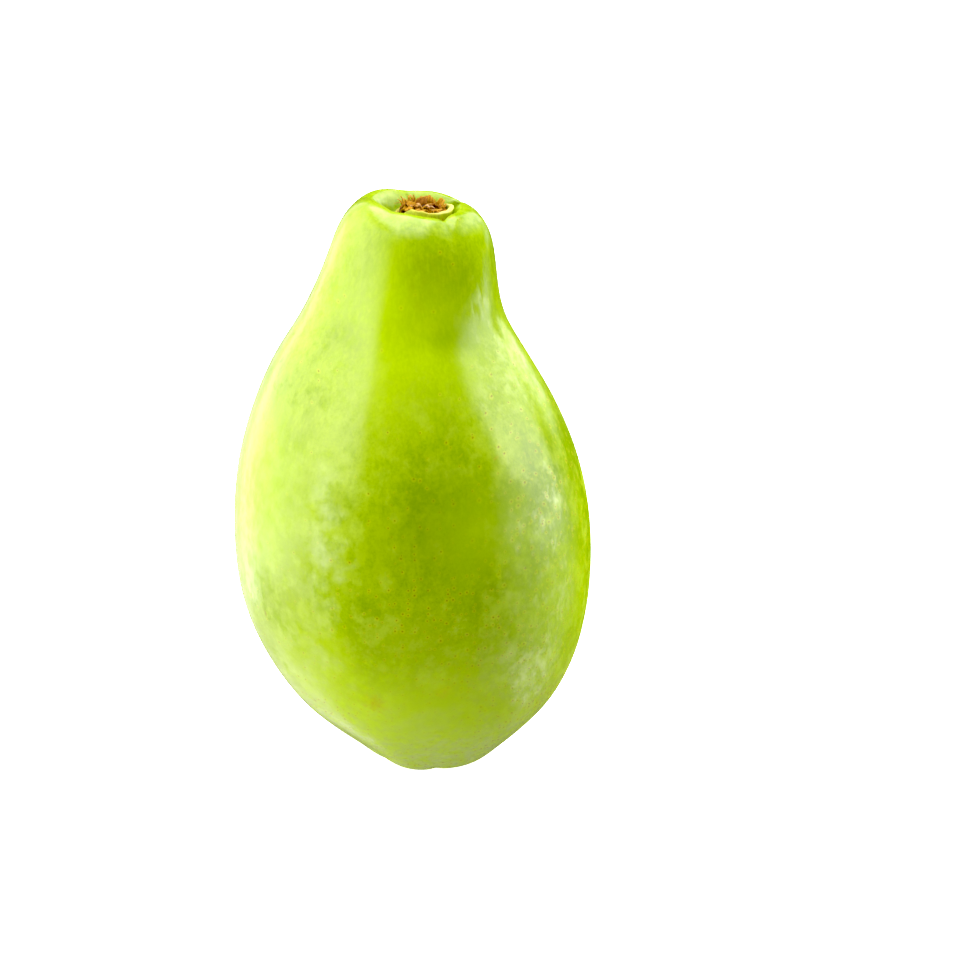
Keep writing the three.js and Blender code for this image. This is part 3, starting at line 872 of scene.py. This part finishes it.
# %% [markdown]
# ## Painted shade in the creases
# A deeper green is painted where the skin dips, as shade, read from the measure that was stored on the mesh.

# %% Paint shade into the creases
# Painted shade: a deeper green where the skin dips.
CREASE_SHADE_GREEN = colour("5F7E06")
CREASE_SHADE_RANGE = {"From Min": 0.06, "From Max": 0.5, "To Max": 0.7}
dip_here = add(tree, "Attribute", {}, "Fac", attribute_name="dip")
crease_shade = add(tree, "MapRange", {"Value": dip_here, **CREASE_SHADE_RANGE}, **SOFT)
base = add(tree, "Mix", {0: crease_shade, 6: base, 7: CREASE_SHADE_GREEN}, 2, **COLOURS)
tree.links.new(base, shader.inputs["Base Color"])

# %% [markdown]
# ## Wax
# The flesh under the wax is soft and nearly matt, and lets a little light wander through it. It mirrors
# nothing itself, because a second mirror under the wax would lay a pale haze over the rubbed places. The wax
# is the clear coat, satin, with an IOR of 1.6. It is thick in the clouds, thinner between them, nearly gone
# where it was rubbed off, and thin in the hollow round the stub. On the right shoulder it is polished into
# one patch. Grain, clouds and freckles also press the surface a little, which frays its highlights.

# %% Finish the skin's shader
POLISHED_SHOULDER = (30.0, -34.0, 106.0)
POLISHED_RANGE = {"From Min": 40, "From Max": 16, "To Max": 0.8}
POLISHED_FRAY = 24
THIN_RANGE = {"From Min": 20, "From Max": 130, "To Min": 0.25, "To Max": 0.68}
HOLLOW_RANGE = {"From Min": 10, "From Max": 15, "To Min": 0.3}
LEFT_WHEN_RUBBED = 0.03
CLOUD_RELIEF = 0.8

set_values(shader, {
    "Roughness": 0.45,
    "IOR": 1.45,
    "Specular IOR Level": 0,
    "Subsurface Weight": 0.1,
    "Subsurface Radius": (1.0, 1.2, 0.2),
    "Subsurface Scale": 2 * MM,
    "Coat Roughness": 0.18,
    "Coat IOR": 1.6,
})
thinnest = add(tree, "MapRange", {"Value": slanted, **THIN_RANGE})
thickness = add(tree, "MapRange", {"Value": wax, "To Min": thinnest, "To Max": 1})
kept_wax = add(tree, "MapRange", {"Value": rubbed, "To Min": 1, "To Max": LEFT_WHEN_RUBBED})
to_stub = add(tree, "VectorMath", {0: in_mm, 1: tuple(STUB_BASE / MM)}, "Value", operation="DISTANCE")
outside = add(tree, "MapRange", {"Value": to_stub, **HOLLOW_RANGE}, **SOFT)
outside_wax = add(tree, "Math", {0: kept_wax, 1: outside}, operation="MULTIPLY")
polished = soft_ball(POLISHED_SHOULDER, clouds, POLISHED_FRAY, POLISHED_RANGE)
thickest = add(tree, "Math", {0: thickness, 1: polished}, operation="MAXIMUM")
coat = add(tree, "Math", {0: thickest, 1: outside_wax}, operation="MULTIPLY")
tree.links.new(coat, shader.inputs["Coat Weight"])
pressed = add(tree, "Math", {0: clouds, 1: CLOUD_RELIEF, 2: grain}, operation="MULTIPLY_ADD")
for dot_here in dots:
    pressed = add(tree, "Math", {0: pressed, 1: dot_here}, operation="SUBTRACT")
bump = add(tree, "Bump", {"Height": pressed, "Strength": 0.3, "Distance": 0.1 * MM})
tree.links.new(bump, shader.inputs["Normal"])
tree.links.new(bump, shader.inputs["Coat Normal"])
skin.data.materials.append(skin_material)
print("skin:", len(tree.nodes), "nodes")

# %% [markdown]
# ## Stalk rind
# The rind is young bark: dull, yellow green, cream where its edge was torn, with fine upright furrows half a
# millimetre wide. The share of the way up, which was stored on its mesh, tells where the torn edge is.

# %% Mix the stalk rind
RIND_DEEP, RIND_PALE, RIND_FURROW = colour("A4AC10"), colour("C2C426"), colour("6E7410")
EDGE_OCHRE, EDGE_CREAM = colour("C8B83A"), colour("E6E07A")
TORN_RANGE = {"From Min": 0.88, "From Max": 1.0, "To Max": 0.65}

rind_material, tree, shader, in_mm = new_material("stalk_rind_torn")
patches = add(tree, "TexNoise", {"Vector": in_mm, "Scale": 1 / 2.5, "Detail": 3})
patch_share = add(tree, "MapRange", {"Value": patches, "From Min": 0.35, "From Max": 0.65}, **SOFT)
base = add(tree, "Mix", {0: patch_share, 6: RIND_DEEP, 7: RIND_PALE}, 2, **COLOURS)
furrow_place = add(tree, "Mapping", {0: in_mm, "Scale": (1, 1, 0.2)})
furrows = add(tree, "TexNoise", {"Vector": furrow_place, "Scale": 2, "Detail": 3})
furrow_share = add(tree, "MapRange", {"Value": furrows, "From Min": 0.45, "From Max": 0.7, "To Max": 0.35})
base = add(tree, "Mix", {0: furrow_share, 6: base, 7: RIND_FURROW}, 2, **COLOURS)
lip_here = add(tree, "Attribute", {}, "Fac", attribute_name="lip")
torn_edge = add(tree, "MapRange", {"Value": lip_here, **TORN_RANGE}, **SOFT)
across = add(tree, "SeparateXYZ", {0: in_mm}, "X")
right_end = add(tree, "MapRange", {"Value": across, "From Min": 6, "From Max": 9}, **SOFT)
edge_colour = add(tree, "Mix", {0: right_end, 6: EDGE_OCHRE, 7: EDGE_CREAM}, 2, **COLOURS)
base = add(tree, "Mix", {0: torn_edge, 6: base, 7: edge_colour}, 2, **COLOURS)
tree.links.new(base, shader.inputs["Base Color"])
set_values(shader, {"Roughness": 0.55})
bump = add(tree, "Bump", {"Height": furrows, "Strength": 0.5, "Distance": 0.2 * MM})
tree.links.new(bump, shader.inputs["Normal"])
rind.data.materials.append(rind_material)
print("rind:", len(tree.nodes), "nodes")

# %% [markdown]
# ## Dry stalk fibre
# Torn plant fibre is matt. It runs from dark brown in the depths, which is painted shade, through ochre to a
# pinkish cream on the thinnest sheets, and strands of a quarter of a millimetre darken it. Each fibre's own
# shade was stored on its mesh, so one material serves them all. A step gives the shades between which the
# next colour comes in.

# %% Mix the stalk fibre
FIBRE_STEPS = [(0.05, 0.36, "80500A"), (0.36, 0.62, "BE8C18"), (0.76, 0.95, "D2AA7A")]
wood_material, tree, shader, in_mm = new_material("stalk_fibre_dry")
shade = add(tree, "Attribute", {}, "Fac", attribute_name="shade")
# The darkest brown is painted shade for the depths of the stub.
base = colour("341A06")
for start, end, step_colour in FIBRE_STEPS:
    step_share = add(tree, "MapRange", {"Value": shade, "From Min": start, "From Max": end}, **SOFT)
    base = add(tree, "Mix", {0: step_share, 6: base, 7: colour(step_colour)}, 2, **COLOURS)
strand_place = add(tree, "Mapping", {0: in_mm, "Scale": (1, 1, 0.12)})
strands = add(tree, "TexNoise", {"Vector": strand_place, "Scale": 4, "Detail": 3})
strand_share = add(tree, "MapRange", {"Value": strands, "From Min": 0.4, "From Max": 0.7, "To Max": 0.5})
base = add(tree, "Mix", {0: strand_share, 6: base, 7: colour("643A0C")}, 2, **COLOURS)
tree.links.new(base, shader.inputs["Base Color"])
set_values(shader, {"Roughness": 0.85, "Specular IOR Level": 0.2})
bump = add(tree, "Bump", {"Height": strands, "Strength": 0.6, "Distance": 0.1 * MM})
tree.links.new(bump, shader.inputs["Normal"])
wood.data.materials.append(wood_material)
print("fibre:", len(tree.nodes), "nodes")

# %% [markdown]
# ## Floor and backdrop
# The fruit stands on a white floor, inside a white globe that is its backdrop. Both are paper that glows
# evenly, so no shadow or corner shows. Only the camera sees them, since the lower skin mirrors panels that
# reach below the floor. A white world could replace both, but then the skin would mirror white all round.

# %% Lay the floor and hang the backdrop
FLOOR_SIZE, BACKDROP_RADIUS = 8.0, 4.0


def make_white_paper(piece, name):
    """Name a piece, and make it white paper that only the camera sees."""
    piece.name = name
    material = bpy.data.materials.new("white_paper_" + name)
    material.use_nodes = True
    set_values(material.node_tree.nodes["Principled BSDF"], {
        "Base Color": colour("F8F8F8"),
        "Roughness": 0.9,
        "Emission Color": colour("FFFFFF"),
        "Emission Strength": 1.0,
    })
    piece.data.materials.append(material)
    piece.visible_glossy = False
    piece.visible_diffuse = False
    piece.visible_shadow = False


bpy.ops.object.select_all(action="DESELECT")
bpy.ops.mesh.primitive_plane_add(size=FLOOR_SIZE)
floor = bpy.context.object
make_white_paper(floor, "floor")

bpy.ops.object.select_all(action="DESELECT")
bpy.ops.mesh.primitive_uv_sphere_add(segments=64, ring_count=32, radius=BACKDROP_RADIUS)
backdrop = bpy.context.object
make_white_paper(backdrop, "backdrop")
print("floor %.0f m wide, backdrop %.0f m away" % (FLOOR_SIZE, BACKDROP_RADIUS))

# %% [markdown]
# ## Soft panels
# Tall soft panels stand round the fruit at the left, at the left back and at the right, and one hangs above.
# The front stays dark. Area lights are used because they show in the wax as large soft patches. Each is given
# by its azimuth and half width in degrees, the heights of its ends in metres, and how bright its face is,
# since that is what the wax mirrors. Its power is worked out from that. A real panel fades towards its ends,
# so each stands as several, one above the other or one wider than the other.

# %% Stand the soft panels
PANEL_DISTANCE = 1.6
PANELS = [
    ("left_front_high", -144, 16, 0.5, 2.3, 3.0),
    ("left_front_panel", -141, 17, -0.65, 0.5, 4.6),
    ("left_front_low", -144, 14, -2.2, -0.65, 0.6),
    ("left_front_low_wide", -141, 20, -2.2, -0.65, 0.8),
    ("left_panel", 176, 24, -0.65, 2.3, 2.6),
    ("left_low", 176, 24, -2.2, -0.65, 1.1),
    ("left_back_high", 141, 11, 0.5, 2.3, 1.7),
    ("left_back_panel", 141, 11, -0.8, 0.5, 2.8),
    ("left_back_middle", 141, 10, -1.4, -0.8, 1.0),
    ("left_back_low", 141, 9, -2.2, -1.4, 0.9),
    ("back_panel", 118, 11, -0.8, 2.3, 1.2),
    ("back_low", 118, 11, -2.2, -0.8, 0.7),
    ("right_high", 12, 28, 0.5, 1.6, 4.4),
    ("right_highest", 12, 28, 1.6, 2.6, 2.2),
    ("right_high_far", 52, 14, 0.1, 1.6, 2.8),
    ("right_panel", 8, 15, -0.25, 0.5, 4.6),
    ("right_panel_wide", -16, 12, -0.25, 0.5, 1.4),
    ("right_low", 4, 22, -2.2, 0.1, 0.6),
    ("right_low_wide", 2, 30, -2.2, 0.1, 0.5),
    ("right_low_widest", 0, 38, -2.2, 0.1, 0.4),
]


def soft_panel(name, size, power, place, faces_away_from):
    """An area light. Its back points along the direction given."""
    data = bpy.data.lights.new(name, "AREA")
    data.shape = "RECTANGLE"
    data.size, data.size_y = size
    data.energy = power
    light = bpy.data.objects.new(name, data)
    bpy.context.scene.collection.objects.link(light)
    light.visible_camera = False
    light.location = place
    light.rotation_euler = faces_away_from.to_track_quat("Z", "Y").to_euler()
    print(name, "%.0f W" % power)


for name, azimuth, half_width, low, high, brightness in PANELS:
    around = math.radians(azimuth)
    outward = Vector((math.cos(around), math.sin(around), 0))
    width = 2 * PANEL_DISTANCE * math.tan(math.radians(half_width))
    power = brightness * math.pi * width * (high - low)
    place = outward * PANEL_DISTANCE + Vector((0, 0, (low + high) / 2))
    soft_panel(name, (width, high - low), power, place, outward)

TOP_WIDTH, TOP_LENGTH, TOP_HEIGHT, TOP_BRIGHTNESS = 1.6, 2.4, 1.8, 4.8
TOP_BACK = 0.1
top_power = TOP_BRIGHTNESS * math.pi * TOP_WIDTH * TOP_LENGTH
top_place = Vector((0, TOP_BACK, TOP_HEIGHT))
soft_panel("top_panel", (TOP_WIDTH, TOP_LENGTH), top_power, top_place, Vector((0, 0, 1)))

# %% [markdown]
# ## Surroundings and black point
# Between the panels the wax mirrors the world: nearly black above, and paler from below, as over a bright
# floor. Last, the black point is raised a little, which takes the last blue out of the greens.

# %% Tone the surroundings and set the black point
ABOVE, BELOW = 0.05, 0.45
BLACK_POINT = 0.012
world = bpy.data.worlds.new("studio")
bpy.context.scene.world = world
world.use_nodes = True
tree = world.node_tree
BELOW_RANGE = {"From Min": -0.4, "From Max": -0.9, "To Min": ABOVE, "To Max": BELOW}
direction = add(tree, "TexCoord", {}, "Generated")
upward = add(tree, "SeparateXYZ", {0: direction}, "Z")
tone = add(tree, "MapRange", {"Value": upward, **BELOW_RANGE}, **SOFT)
background = tree.nodes["Background"]
set_values(background, {"Color": (1, 1, 1, 1)})
tree.links.new(tone, background.inputs["Strength"])
view = bpy.context.scene.view_settings
view.view_transform = "Standard"
view.use_curve_mapping = True
view.curve_mapping.black_level = (BLACK_POINT, BLACK_POINT, BLACK_POINT)
print("world strength from", ABOVE, "above to", BELOW, "below")

# %% [markdown]
# ## Attach the pieces
# Each piece rides on the fruit's one body, and the solid that it stands for is hidden.

# %% Attach each piece and hide its solid
for piece, node_name, slot_name in [
    (skin, "fruit", "papaya_skin"),
    (rind, "stem_rind", "stalk_rind"),
    (wood, "stem_wood", "stalk_wood"),
]:
    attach(piece, "root")
    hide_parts(node_name)
